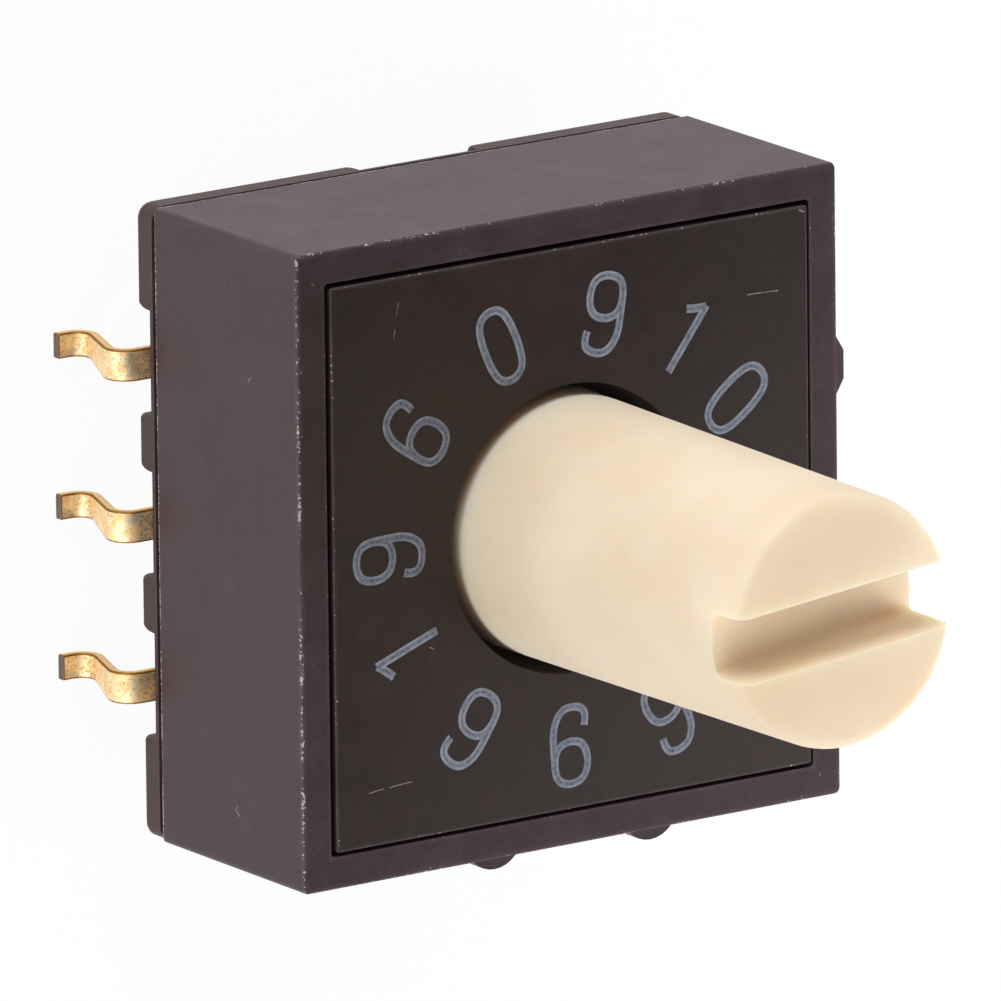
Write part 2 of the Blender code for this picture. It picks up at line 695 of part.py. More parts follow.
def build_base():
    slab = slab_shape(CASE_HALF, RIM_BOTTOM, LIP_TOP, BASE_CORNER, 5)
    rear = RIM_BOTTOM + BASE_EDGE
    round_edges(slab, BASE_EDGE, 2, lambda edge: all(vert.co.z < rear for vert in edge.verts))
    base = add_part("base", slab, BASE_PLASTIC)
    add_boolean(base, "UNION", "add_plug", slab_shape(PLUG_HALF, LIP_BOTTOM + LIP_THICKNESS / 2, BASE_TOP))
    seats = []
    spring_slots = []
    for x_side in (-1, 1):
        for y_side in (-1, 1):
            x_ends = (x_side * PLUG_HALF, x_side * (PLUG_HALF - SPRING_SEAT_WIDTH))
            inner_y = SPRING_MIDDLE_Y - SPRING_THICKNESS / 2 - SEAM_GAP
            y_ends = (y_side * PLUG_HALF, y_side * (inner_y - SPRING_SEAT_WALL))
            low = (min(x_ends), min(y_ends), BASE_TOP - BASE_THICKNESS / 2)
            high = (max(x_ends), max(y_ends), SPRING_TOP)
            seats.append(box_shape(low, high))
            x_ends = (x_side * (PLUG_HALF + OVERRUN), x_side * (PLUG_HALF - SPRING_SEAT_WIDTH - OVERRUN))
            y_ends = (y_side * (PLUG_HALF + OVERRUN), y_side * inner_y)
            low = (min(x_ends), min(y_ends), SPRING_BOTTOM - SEAM_GAP)
            high = (max(x_ends), max(y_ends), SPRING_TOP + OVERRUN)
            spring_slots.append(box_shape(low, high))
    add_boolean(base, "UNION", "add_spring_seats", join_shapes(seats))
    add_boolean(base, "DIFFERENCE", "cut_spring_slots", join_shapes(spring_slots))
    recess = slab_shape(RIM_INNER_HALF, RIM_BOTTOM - OVERRUN, BASE_FLOOR)
    add_boolean(base, "DIFFERENCE", "cut_potting_recess", recess)
    notches = []
    for _, side, row in terminal_places():
        middle = row * TERMINAL_PITCH
        inner = side * (RIM_INNER_HALF - OVERRUN)
        outer = side * (CASE_HALF + OVERRUN)
        notches.append(
            box_shape(
                (min(inner, outer), middle - TERMINAL_NOTCH / 2, RIM_BOTTOM - OVERRUN),
                (max(inner, outer), middle + TERMINAL_NOTCH / 2, LIP_BOTTOM),
            )
        )
    for side in (-1, 1):
        inner = side * (RIM_INNER_HALF - OVERRUN)
        outer = side * (CASE_HALF + OVERRUN)
        notches.append(
            box_shape(
                (-MIDDLE_NOTCH / 2, min(inner, outer), RIM_BOTTOM - OVERRUN),
                (MIDDLE_NOTCH / 2, max(inner, outer), LIP_BOTTOM),
            )
        )
    add_boolean(base, "DIFFERENCE", "cut_rim_notches", join_shapes(notches))
    holes = [cylinder_shape(PIVOT_RADIUS + RUN_GAP, PIVOT_BOTTOM, BASE_TOP + OVERRUN, SMALL_TURNED_STEPS)]
    for _, side, row in terminal_places():
        middle = Vector((side * WEB_X, row * TERMINAL_PITCH, 0.0))
        size = Vector((TERMINAL_THICKNESS / 2 + SEAM_GAP, TERMINAL_WIDTH / 2 + SEAM_GAP, 0.0))
        holes.append(
            box_shape(
                middle - size + Vector((0.0, 0.0, BASE_FLOOR - POTTING_RECESS / 2)),
                middle + size + Vector((0.0, 0.0, BASE_TOP + OVERRUN)),
            )
        )
    add_boolean(base, "DIFFERENCE", "cut_base_holes", join_shapes(holes))
    return base


def build_potting():
    half = RIM_INNER_HALF - SEAM_GAP
    bottom = SHOULDER_BOTTOM - POTTING_COVER
    potting = add_part("potting", slab_shape(half, bottom, BASE_FLOOR - SEAM_GAP), POTTING_RESIN)
    channels = []
    for _, side, row in terminal_places():
        half_width = TERMINAL_WIDTH / 2 + SEAM_GAP
        middle = row * TERMINAL_PITCH
        inner = side * (WEB_X - TERMINAL_THICKNESS / 2 - SEAM_GAP)
        web_outer = side * (WEB_X + TERMINAL_THICKNESS / 2 + BEND_RADIUS + SEAM_GAP)
        outer = side * (CASE_HALF + OVERRUN)
        web = box_shape(
            (min(inner, web_outer), middle - half_width, SHOULDER_BOTTOM - SEAM_GAP),
            (max(inner, web_outer), middle + half_width, BASE_FLOOR + OVERRUN),
        )
        shoulder = box_shape(
            (min(inner, outer), middle - half_width, SHOULDER_BOTTOM - SEAM_GAP),
            (max(inner, outer), middle + half_width, SHOULDER_BOTTOM + TERMINAL_THICKNESS + SEAM_GAP),
        )
        channels.append((web, shoulder))
    add_boolean(potting, "DIFFERENCE", "cut_webs", join_shapes([web for web, _ in channels]))
    add_boolean(potting, "DIFFERENCE", "cut_shoulders", join_shapes([shoulder for _, shoulder in channels]))
    return potting


def main():
    build_housing()
    build_dial_plate()
    build_shaft_seal()
    build_thrust_washer()
    build_rotor()
    build_detent_springs()
    build_code_disc()
    build_terminals()
    build_base()
    build_potting()


main()
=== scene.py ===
# Rotary dip switch, 10 mm square: looks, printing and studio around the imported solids.
# +Z runs along the shaft, +X to the dial's right and +Y to its top.
import math

import bpy
from mathutils import Matrix, Vector


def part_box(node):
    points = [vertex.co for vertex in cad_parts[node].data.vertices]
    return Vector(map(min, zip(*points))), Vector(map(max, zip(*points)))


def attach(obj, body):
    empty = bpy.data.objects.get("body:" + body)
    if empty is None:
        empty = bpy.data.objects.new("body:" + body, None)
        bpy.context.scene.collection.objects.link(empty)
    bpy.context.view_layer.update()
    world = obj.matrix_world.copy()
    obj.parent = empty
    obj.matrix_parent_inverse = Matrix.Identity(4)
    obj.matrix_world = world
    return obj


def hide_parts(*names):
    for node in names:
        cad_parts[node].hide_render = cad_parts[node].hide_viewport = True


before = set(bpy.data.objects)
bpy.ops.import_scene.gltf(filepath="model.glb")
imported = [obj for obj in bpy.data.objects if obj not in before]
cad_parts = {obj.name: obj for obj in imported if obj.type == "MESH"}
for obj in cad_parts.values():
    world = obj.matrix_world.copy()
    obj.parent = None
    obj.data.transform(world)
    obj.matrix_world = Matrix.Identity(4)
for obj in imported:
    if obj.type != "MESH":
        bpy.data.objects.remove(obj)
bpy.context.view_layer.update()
mm = 0.001
print("switch loaded")


def linear(hexColour):
    # sRGB hex to the linear shades that nodes take
    shades = [int(hexColour[start : start + 2], 16) / 255 for start in (1, 3, 5)]
    return [
        shade / 12.92 if shade <= 0.04045 else ((shade + 0.055) / 1.055) ** 2.4 for shade in shades
    ] + [1.0]


def setInputs(tree, node, inputs):
    # An input is named, or is n and its number, and gets a value or another node's output
    for name, value in inputs.items():
        numbered = name[0] == "n" and name[1:].isdigit()
        socket = node.inputs[int(name[1:]) if numbered else name.replace("_", " ")]
        if isinstance(value, bpy.types.NodeSocket):
            tree.links.new(value, socket)
        else:
            socket.default_value = value


def addNode(tree, kind, settings=None, **inputs):
    # One node: plain settings first, then its inputs
    node = tree.nodes.new(kind)
    for name, value in (settings or {}).items():
        setattr(node, name, value)
    setInputs(tree, node, inputs)
    return node


def startMaterial(name, patterns):
    # A shader, and the fields that its colours follow: the place on the piece and each pattern's
    # noise, from its size in mm, detail and roughness
    material = bpy.data.materials.new(name)
    material.use_nodes = True
    tree = material.node_tree
    tree.nodes.clear()
    shader = addNode(tree, "ShaderNodeBsdfPrincipled")
    addNode(tree, "ShaderNodeOutputMaterial", Surface=shader.outputs["BSDF"])
    fields = {"place": addNode(tree, "ShaderNodeTexCoord").outputs["Object"]}
    for pattern, (size, detail, roughness) in patterns.items():
        noise = addNode(
            tree,
            "ShaderNodeTexNoise",
            Vector=fields["place"],
            Scale=1 / (size * mm),
            Detail=detail,
            Roughness=roughness,
        )
        fields[pattern] = noise.outputs["Fac"]
    return material, tree, shader, fields


def selectOnly(piece):
    bpy.ops.object.select_all(action="DESELECT")
    piece.select_set(True)
    bpy.context.view_layer.objects.active = piece


# Glass-filled polyester, moulded, for the case, the dial plate and the base: a dull brown-black
# skin with a purple cast, clouded where the filler lies nearer the surface, and chipped to a paler
# grey along its edges. A thin bloom of mould release gives faces seen at a low angle a warmer,
# purple sheen.
caseLook = {
    "patterns": {  # size in mm, detail and roughness of each noise
        "clouds": (0.75, 7.0, 0.68),
        "grain": (0.06, 2.0, 0.7),  # drawn coarser than the real filler so that it shows
        "stretches": (0.7, 3.0, 0.5),  # the more and less worn stretches of an edge
        "chips": (0.05, 2.0, 0.6),
    },
    "cloudRange": (0.3, 0.7),  # of the noise, from no cloud to a full one
    "grainRange": (0.3, 0.7),
    "grainShare": 0.5,
    "stretchRange": (0.35, 0.65),
    "leastWear": 0.45,  # share of the wear on the least worn stretches
    "rubbedShare": 0.3,
    "wearToChips": 0.32,  # what full wear adds to the noise of the chips
    "chipRange": (0.82, 0.86),
    "roughnessSpread": 0.06,
    "cloudHeight": 2.0,  # times that of the grain
    "bump": 0.005,  # mm
    "bumpStrength": 0.6,
    "bloomRoughness": 0.5,
    "bloomColour": "#f0a8cc",
    "chipColour": "#beb2ad",
    "rubbedColour": "#6f6365",
}
# Each worn line is where two faces meet. It gives what is measured, where, and how far the wear
# reaches, all in mm, for each face, and then its share. "square" is the larger of the distances
# from the axis along X and Y, "other" the smaller, "left" is along -X, and "height" along Z.
housingLook = {
    "roughness": 0.5,
    "specularLevel": 0.38,
    "bloom": 0.1,
    "colour": "#2f2426",
    "cloudColour": "#443639",
    "grainColour": "#271e20",
    "wornLines": (
        ("square", 5.0, 0.11, "height", 5.85, 0.11, 0.95),
        ("left", 5.0, 0.08, "height", 5.85, 0.08, 1.6),
        ("square", 5.0, 0.15, "other", 5.0, 0.15, 0.65),
        ("square", 5.0, 0.05, "height", 2.03, 0.05, 1.5),
        ("square", 4.49, 0.07, "height", 5.85, 0.07, 0.7),
    ),
}
plateLook = {
    "roughness": 0.42,
    "specularLevel": 0.4,
    "bloom": 0.04,
    "colour": "#231a18",
    "cloudColour": "#2f2421",
    "grainColour": "#1b1412",
    "wornLines": (("square", 4.415, 0.06, "height", 5.91, 0.06, 1.0),),
}
baseLook = {
    "roughness": 0.6,
    "specularLevel": 0.3,
    "bloom": 0.1,
    "colour": "#3d302f",
    "cloudColour": "#50403e",
    "grainColour": "#302625",
    "wornLines": (
        ("square", 5.0, 0.04, "height", 1.94, 0.03, 0.6),
        ("square", 5.0, 0.07, "height", 1.53, 0.07, 0.7),
    ),
}


def caseMaterial(name, look):
    material, tree, shader, fields = startMaterial(name, caseLook["patterns"])
    shares = {}
    for pattern, (low, high), least, most in (
        ("clouds", caseLook["cloudRange"], 0.0, 1.0),
        ("grain", caseLook["grainRange"], 0.0, caseLook["grainShare"]),
        ("stretches", caseLook["stretchRange"], caseLook["leastWear"], 1.0),
    ):
        share = addNode(
            tree,
            "ShaderNodeMapRange",
            Value=fields[pattern],
            From_Min=low,
            From_Max=high,
            To_Min=least,
            To_Max=most,
        )
        shares[pattern] = share.outputs["Result"]

    axes = addNode(tree, "ShaderNodeSeparateXYZ", Vector=fields["place"])
    sizeX = addNode(tree, "ShaderNodeMath", {"operation": "ABSOLUTE"}, n0=axes.outputs["X"])
    sizeY = addNode(tree, "ShaderNodeMath", {"operation": "ABSOLUTE"}, n0=axes.outputs["Y"])
    measures = {"height": axes.outputs["Z"]}
    for measure, operation, first, second in (
        ("square", "MAXIMUM", sizeX.outputs[0], sizeY.outputs[0]),
        ("other", "MINIMUM", sizeX.outputs[0], sizeY.outputs[0]),
        ("left", "MULTIPLY", axes.outputs["X"], -1.0),
    ):
        distance = addNode(tree, "ShaderNodeMath", {"operation": operation}, n0=first, n1=second)
        measures[measure] = distance.outputs[0]

    # Wear falls off to both sides of a line, and where lines meet the strongest counts
    worn = 0.0
    for *faces, line in look["wornLines"]:
        for measure, at, reach in (faces[:3], faces[3:]):
            away = addNode(
                tree, "ShaderNodeMath", {"operation": "SUBTRACT"}, n0=measures[measure], n1=at * mm
            )
            size = addNode(tree, "ShaderNodeMath", {"operation": "ABSOLUTE"}, n0=away.outputs[0])
            ramp = addNode(
                tree,
                "ShaderNodeMapRange",
                Value=size.outputs[0],
                From_Max=reach * mm,
                To_Min=1.0,
                To_Max=0.0,
            )
            product = addNode(
                tree,
                "ShaderNodeMath",
                {"operation": "MULTIPLY"},
                n0=ramp.outputs["Result"],
                n1=line,
            )
            line = product.outputs[0]
        strongest = addNode(tree, "ShaderNodeMath", {"operation": "MAXIMUM"}, n0=line, n1=worn)
        worn = strongest.outputs[0]
    wornHere = addNode(
        tree, "ShaderNodeMath", {"operation": "MULTIPLY"}, n0=worn, n1=shares["stretches"]
    )
    rubbed = addNode(
        tree,
        "ShaderNodeMath",
        {"operation": "MULTIPLY"},
        n0=wornHere.outputs[0],
        n1=caseLook["rubbedShare"],
    )
    chipLevel = addNode(
        tree,
        "ShaderNodeMath",
        {"operation": "MULTIPLY_ADD"},
        n0=wornHere.outputs[0],
        n1=caseLook["wearToChips"],
        n2=fields["chips"],
    )
    chipped = addNode(
        tree,
        "ShaderNodeMapRange",
        Value=chipLevel.outputs[0],
        From_Min=caseLook["chipRange"][0],
        From_Max=caseLook["chipRange"][1],
    )

    colour = linear(look["colour"])
    for share, layerColour in (
        (shares["clouds"], look["cloudColour"]),
        (shares["grain"], look["grainColour"]),
        (rubbed.outputs[0], caseLook["rubbedColour"]),
        (chipped.outputs["Result"], caseLook["chipColour"]),
    ):
        layer = addNode(
            tree,
            "ShaderNodeMix",
            {"data_type": "RGBA"},
            n0=share,
            n6=colour,
            n7=linear(layerColour),
        )
        colour = layer.outputs[2]
    rough = addNode(
        tree,
        "ShaderNodeMapRange",
        Value=shares["clouds"],
        To_Min=look["roughness"] - caseLook["roughnessSpread"],
        To_Max=look["roughness"] + caseLook["roughnessSpread"],
    )
    height = addNode(
        tree,
        "ShaderNodeMath",
        {"operation": "MULTIPLY_ADD"},
        n0=fields["clouds"],
        n1=caseLook["cloudHeight"],
        n2=fields["grain"],
    )
    bump = addNode(
        tree,
        "ShaderNodeBump",
        Height=height.outputs[0],
        Strength=caseLook["bumpStrength"],
        Distance=caseLook["bump"] * mm,
    )
    shaderInputs = {
        "Base Color": colour,
        "Roughness": rough.outputs["Result"],
        "Normal": bump.outputs["Normal"],
        "Specular IOR Level": look["specularLevel"],
        "Sheen Weight": look["bloom"],
        "Sheen Roughness": caseLook["bloomRoughness"],
        "Sheen Tint": linear(caseLook["bloomColour"]),
    }
    setInputs(tree, shader, shaderInputs)
    return material


# Ivory polyester of the rotor, moulded in one with the shaft: warm, dull and a little clouded.
# Light passes a little way into it, which warms and softens the slot's shadows.
rotorLook = {
    "patterns": {"clouds": (2.2, 5.0, 0.5), "grain": (0.09, 2.0, 0.5)},
    "colour": "#eedfc7",
    "shadeColour": "#e8d5b8",
    "cloudRange": (0.35, 0.65),
    "roughness": 0.7,
    "specularLevel": 0.2,
    "bump": 0.002,  # mm
    "bumpStrength": 0.5,
    "depthShare": 0.6,
    "depth": 0.75,  # mm, reach of red light in it
    "depthColours": (1.0, 0.6, 0.3),
}


def rotorMaterial(name, look):
    material, tree, shader, fields = startMaterial(name, look["patterns"])
    clouded = addNode(
        tree,
        "ShaderNodeMapRange",
        Value=fields["clouds"],
        From_Min=look["cloudRange"][0],
        From_Max=look["cloudRange"][1],
    )
    colour = addNode(
        tree,
        "ShaderNodeMix",
        {"data_type": "RGBA"},
        n0=clouded.outputs["Result"],
        n6=linear(look["colour"]),
        n7=linear(look["shadeColour"]),
    )
    bump = addNode(
        tree,
        "ShaderNodeBump",
        Height=fields["grain"],
        Strength=look["bumpStrength"],
        Distance=look["bump"] * mm,
    )
    shaderInputs = {
        "Base Color": colour.outputs[2],
        "Normal": bump.outputs["Normal"],
        "Roughness": look["roughness"],
        "Specular IOR Level": look["specularLevel"],
        "Subsurface Weight": look["depthShare"],
        "Subsurface Scale": look["depth"] * mm,
        "Subsurface Radius": look["depthColours"],
    }
    setInputs(tree, shader, shaderInputs)
    return material


# Gold-plated brass strip: pale gold on its rolled faces, mottled, and pitted to brown. Near the
# case the pits grow denser as painted shade where the strip leaves the case. Its sheared sides are
# a little browner, and the dull brown of bare metal shows where each toe was cut from its carrier.
goldLook = {
    "patterns": {"patches": (0.18, 4.0, 0.5), "pits": (0.045, 2.0, 0.5)},
    "colour": "#ffeac0",
    "wornColour": "#f3d09a",
    "pitAndShadeColour": "#946528",
    "sideColour": "#e2bd84",
    "cutColour": "#79655a",
    "patchRange": (0.38, 0.62),
    "sideRange": (0.6, 0.95),  # of how far the surface faces along Y
    "sideShare": 1.0,
    "caseLine": 5.03,  # mm from the axis
    "caseReach": 0.25,  # mm from that line to where the case no longer counts
    # painted shade: near the case the pits' noise is raised, darkening the strip there
    "paintedShadeAtCase": 0.14,  # what the case adds to the noise of the pits
    "pitAndShadeRange": (0.56, 0.7),
    "pitAndShadeShare": 0.5,
    "toeLine": 5.525,  # mm from the axis
    "toeHeight": 0.17,  # mm above the board
    "roughness": 0.54,
    "smoother": 0.08,
    "rougher": 0.14,
    "roughRange": (0.35, 0.65),
    "bump": 0.006,  # mm
    "bumpStrength": 0.7,
}
# Along the strip's rounded edges the plating is worn to one darker brown.
goldEdgeLook = {**goldLook, "colour": "#94672f", "wornColour": "#94672f", "sideShare": 0.0}


def goldMaterial(name, look):
    material, tree, shader, fields = startMaterial(name, look["patterns"])
    patched = addNode(
        tree,
        "ShaderNodeMapRange",
        Value=fields["patches"],
        From_Min=look["patchRange"][0],
        From_Max=look["patchRange"][1],
    )
    axes = addNode(tree, "ShaderNodeSeparateXYZ", Vector=fields["place"])
    reach = addNode(tree, "ShaderNodeMath", {"operation": "ABSOLUTE"}, n0=axes.outputs["X"])
    # Painted shade where the strip leaves the case, drawn as denser brown pits
    paintedCaseShade = addNode(
        tree,
        "ShaderNodeMapRange",
        Value=reach.outputs[0],
        From_Min=look["caseLine"] * mm,
        From_Max=(look["caseLine"] + look["caseReach"]) * mm,
        To_Min=look["paintedShadeAtCase"],
        To_Max=0.0,
    )
    pitsAndCaseShade = addNode(
        tree,
        "ShaderNodeMath",
        {"operation": "ADD"},
        n0=paintedCaseShade.outputs["Result"],
        n1=fields["pits"],
    )
    pittedAndShaded = addNode(
        tree,
        "ShaderNodeMapRange",
        Value=pitsAndCaseShade.outputs[0],
        From_Min=look["pitAndShadeRange"][0],
        From_Max=look["pitAndShadeRange"][1],
        To_Max=look["pitAndShadeShare"],
    )
    facing = addNode(tree, "ShaderNodeTexCoord").outputs["Normal"]
    facingAxes = addNode(tree, "ShaderNodeSeparateXYZ", Vector=facing)
    sideways = addNode(
        tree, "ShaderNodeMath", {"operation": "ABSOLUTE"}, n0=facingAxes.outputs["Y"]
    )
    onSide = addNode(
        tree,
        "ShaderNodeMapRange",
        Value=sideways.outputs[0],
        From_Min=look["sideRange"][0],
        From_Max=look["sideRange"][1],
        To_Max=look["sideShare"],
    )
    farOut = addNode(
        tree,
        "ShaderNodeMath",
        {"operation": "GREATER_THAN"},
        n0=reach.outputs[0],
        n1=look["toeLine"] * mm,
    )
    lowDown = addNode(
        tree,
        "ShaderNodeMath",
        {"operation": "LESS_THAN"},
        n0=axes.outputs["Z"],
        n1=look["toeHeight"] * mm,
    )
    cut = addNode(
        tree,
        "ShaderNodeMath",
        {"operation": "MULTIPLY"},
        n0=farOut.outputs[0],
        n1=lowDown.outputs[0],
    )

    colour = linear(look["colour"])
    for share, layerColour in (
        (patched.outputs["Result"], look["wornColour"]),
        (pittedAndShaded.outputs["Result"], look["pitAndShadeColour"]),
        (onSide.outputs["Result"], look["sideColour"]),
        (cut.outputs[0], look["cutColour"]),
    ):
        layer = addNode(
            tree,
            "ShaderNodeMix",
            {"data_type": "RGBA"},
            n0=share,
            n6=colour,
            n7=linear(layerColour),
        )
        colour = layer.outputs[2]
    rough = addNode(
        tree,
        "ShaderNodeMapRange",
        Value=fields["patches"],
        From_Min=look["roughRange"][0],
        From_Max=look["roughRange"][1],
        To_Min=look["roughness"] - look["smoother"],
        To_Max=look["roughness"] + look["rougher"],
    )
    bump = addNode(
        tree,
        "ShaderNodeBump",
        Height=fields["patches"],
        Strength=look["bumpStrength"],
        Distance=look["bump"] * mm,
    )
    shaderInputs = {
        "Base Color": colour,
        "Roughness": rough.outputs["Result"],
        "Normal": bump.outputs["Normal"],
        "Metallic": 1.0,
    }
    setInputs(tree, shader, shaderInputs)
    return material


# Small inner pieces: rubber ring, steel washer and springs, resin, and the gold-faced code disc.
# The rubber ring's black also fills the gap round the shaft as painted shade.
innerLooks = {
    "rubberRingAndGapShade": {"colour": "#101011", "roughness": 0.62, "metallic": 0.0, "grainSize": 0.05},
    "pouredEpoxy": {"colour": "#17171a", "roughness": 0.22, "metallic": 0.0, "grainSize": 0.6},
    "stampedSteel": {"colour": "#b9b6b0", "roughness": 0.32, "metallic": 1.0, "grainSize": 0.08},
    "rolledSpringSteel": {
        "colour": "#c2beb6",
        "roughness": 0.26,
        "metallic": 1.0,
        "grainSize": 0.12,
    },
    "goldFacedDisc": {"colour": "#e2b66e", "roughness": 0.28, "metallic": 1.0, "grainSize": 0.2},
}
innerGrain = {
    "detail": 3.0,
    "roughness": 0.5,
    "spread": 0.08,  # of the surface's roughness, to both sides
    "bump": 0.001,  # mm
    "bumpStrength": 0.3,
}


def innerMaterial(name, look):
    patterns = {"grain": (look["grainSize"], innerGrain["detail"], innerGrain["roughness"])}
    material, tree, shader, fields = startMaterial(name, patterns)
    rough = addNode(
        tree,
        "ShaderNodeMapRange",
        Value=fields["grain"],
        To_Min=look["roughness"] - innerGrain["spread"],
        To_Max=look["roughness"] + innerGrain["spread"],
    )
    bump = addNode(
        tree,
        "ShaderNodeBump",
        Height=fields["grain"],
        Strength=innerGrain["bumpStrength"],
        Distance=innerGrain["bump"] * mm,
    )
    shaderInputs = {
        "Base Color": linear(look["colour"]),
        "Roughness": rough.outputs["Result"],
        "Normal": bump.outputs["Normal"],
        "Metallic": look["metallic"],
    }
    setInputs(tree, shader, shaderInputs)
    return material


# Pad-printed ink of the numbers: flat blue-grey, thick where the pad squeezed it out along each
# stroke's sides, and thinner and darker down its middle. Both are broken by darker specks.
inkLook = {
    "patterns": {"breaks": (0.14, 3.0, 0.5)},
    "colour": "#868b98",
    "thinColour": "#6a6f7c",
    "roughness": 0.6,
}
thinInkLook = {
    "patterns": {"breaks": (0.05, 3.0, 0.5)},
    "colour": "#727786",
    "thinColour": "#484b56",
    "roughness": 0.6,
}
# Bare filler in the scratches and nicks: a paler grey-brown.
scratchLook = {
    "patterns": {"breaks": (0.12, 3.0, 0.5)},
    "colour": "#8d8180",
    "thinColour": "#4d4443",
    "roughness": 0.7,
}
breakRange = (0.42, 0.68)  # of the noise, from the colour to the thin colour


def inkMaterial(name, look):
    material, tree, shader, fields = startMaterial(name, look["patterns"])
    thinned = addNode(
        tree,
        "ShaderNodeMapRange",
        Value=fields["breaks"],
        From_Min=breakRange[0],
        From_Max=breakRange[1],
    )
    colour = addNode(
        tree,
        "ShaderNodeMix",
        {"data_type": "RGBA"},
        n0=thinned.outputs["Result"],
        n6=linear(look["colour"]),
        n7=linear(look["thinColour"]),
    )
    setInputs(tree, shader, {"Base Color": colour.outputs[2], "Roughness": look["roughness"]})
    return material


materials = {
    "housingMoulding": caseMaterial("glassFilledHousingMoulding", housingLook),
    "plateMoulding": caseMaterial("glassFilledDialMoulding", plateLook),
    "baseMoulding": caseMaterial("glassFilledBaseMoulding", baseLook),
    "rotorMoulding": rotorMaterial("ivoryRotorMoulding", rotorLook),
    "goldStrip": goldMaterial("goldPlatedStrip", goldLook),
    "goldEdge": goldMaterial("goldPlatedStripEdge", goldEdgeLook),
    "printInk": inkMaterial("padPrintedInk", inkLook),
    "thinInk": inkMaterial("padPrintedThinInk", thinInkLook),
    "bareScratch": inkMaterial("scratchedMoulding", scratchLook),
}
for lookName, look in innerLooks.items():
    materials[lookName] = innerMaterial(lookName, look)
print("materials made")

# Each node of the switch: its material and, where its sharp edges are rounded, by how much in mm
# and in what material
nodeFinishes = {
    "housing": {"material": "housingMoulding"},
    "dial_plate": {"material": "plateMoulding"},
    "base": {"material": "baseMoulding"},
    "rotor_shaft": {"material": "rotorMoulding", "rounding": 0.04},
    "potting": {"material": "pouredEpoxy"},
    # the black rubber ring also stands in for the shade in the gap round the shaft
    "shaft_seal": {"material": "rubberRingAndGapShade"},
    "thrust_washer": {"material": "stampedSteel"},
    "detent_spring_1": {"material": "rolledSpringSteel"},
    "detent_spring_2": {"material": "rolledSpringSteel"},
    "code_disc": {"material": "goldFacedDisc"},
}
for terminal in ("bit_1", "bit_2", "bit_4", "bit_8", "common_left", "common_right"):
    nodeFinishes["terminal_" + terminal] = {
        "material": "goldStrip",
        "rounding": 0.03,
        "edge": "goldEdge",
    }
meshFinish = {
    "merge": 0.0008,  # mm
    "flatAngle": 0.3,  # degrees, under which faces are joined
    "sharpAngle": 35,  # degrees, over which an edge is rounded
    "roundingSegments": 3,
    "smoothAngle": 32,  # degrees, under which an edge is shaded smooth
}
# The feet of the base's raised edge, which are rounded at their ends
feet = {
    "ends": (0.83, 1.71, 3.37),  # mm from the middle of the left and right sides
    "middleEnd": 1.1,  # mm from the middle of the top and bottom sides
    "outside": 4.0,  # mm from the axis, past which the raised edge lies
    "top": 1.61,  # mm, where the feet meet the rest of the base
    "near": 0.002,  # mm
    "rounding": 0.17,  # mm
    "segments": 4,
}
# The tapered wall of the shaft, which is shaded as round
shaftWall = {
    "tipRadius": 1.97,  # mm
    "tip": 13.1,  # mm
    "taper": 0.1 / 7.25,
    "near": 0.004,  # mm
    "foot": 5.0,  # mm, under which lie the rotor's inner walls
    "leastOutward": 0.9,  # share of a wall face's normal that points away from the axis
}


def roundFeet(piece):
    bpy.ops.object.mode_set(mode="EDIT")
    bpy.ops.mesh.select_mode(type="EDGE")
    bpy.ops.mesh.select_all(action="DESELECT")
    bpy.ops.object.mode_set(mode="OBJECT")
    for edge in piece.data.edges:
        first, second = (piece.data.vertices[index].co / mm for index in edge.vertices)
        if max(first.z, second.z) > feet["top"]:
            continue
        onSide = min(abs(first.x), abs(second.x)) > feet["outside"] and any(
            all(abs(abs(point.y) - end) < feet["near"] for point in (first, second))
            for end in feet["ends"]
        )
        onMiddle = min(abs(first.y), abs(second.y)) > feet["outside"] and all(
            abs(abs(point.x) - feet["middleEnd"]) < feet["near"] for point in (first, second)
        )
        edge.select = onSide or onMiddle
    bpy.ops.object.mode_set(mode="EDIT")
    bpy.ops.mesh.bevel(
        offset=feet["rounding"] * mm, segments=feet["segments"], affect="EDGES", clamp_overlap=True
    )
    bpy.ops.object.mode_set(mode="OBJECT")


def shadeShaft(piece):
    mesh = piece.data
    normals = [corner.vector.copy() for corner in mesh.corner_normals]
    for face in mesh.polygons:
        outward = Vector((face.center.x, face.center.y, 0.0)).normalized()
        if (
            face.normal.dot(outward) < shaftWall["leastOutward"]
            or face.center.z < shaftWall["foot"] * mm
        ):
            continue
        for corner in face.loop_indices:
            point = mesh.vertices[mesh.loops[corner].vertex_index].co / mm
            size = math.hypot(point.x, point.y)
            wall = shaftWall["tipRadius"] + (shaftWall["tip"] - point.z) * shaftWall["taper"]
            if size > wall - shaftWall["near"]:
                slope = size * shaftWall["taper"]
                normals[corner] = Vector((point.x, point.y, slope)).normalized()
    mesh.normals_split_custom_set(normals)


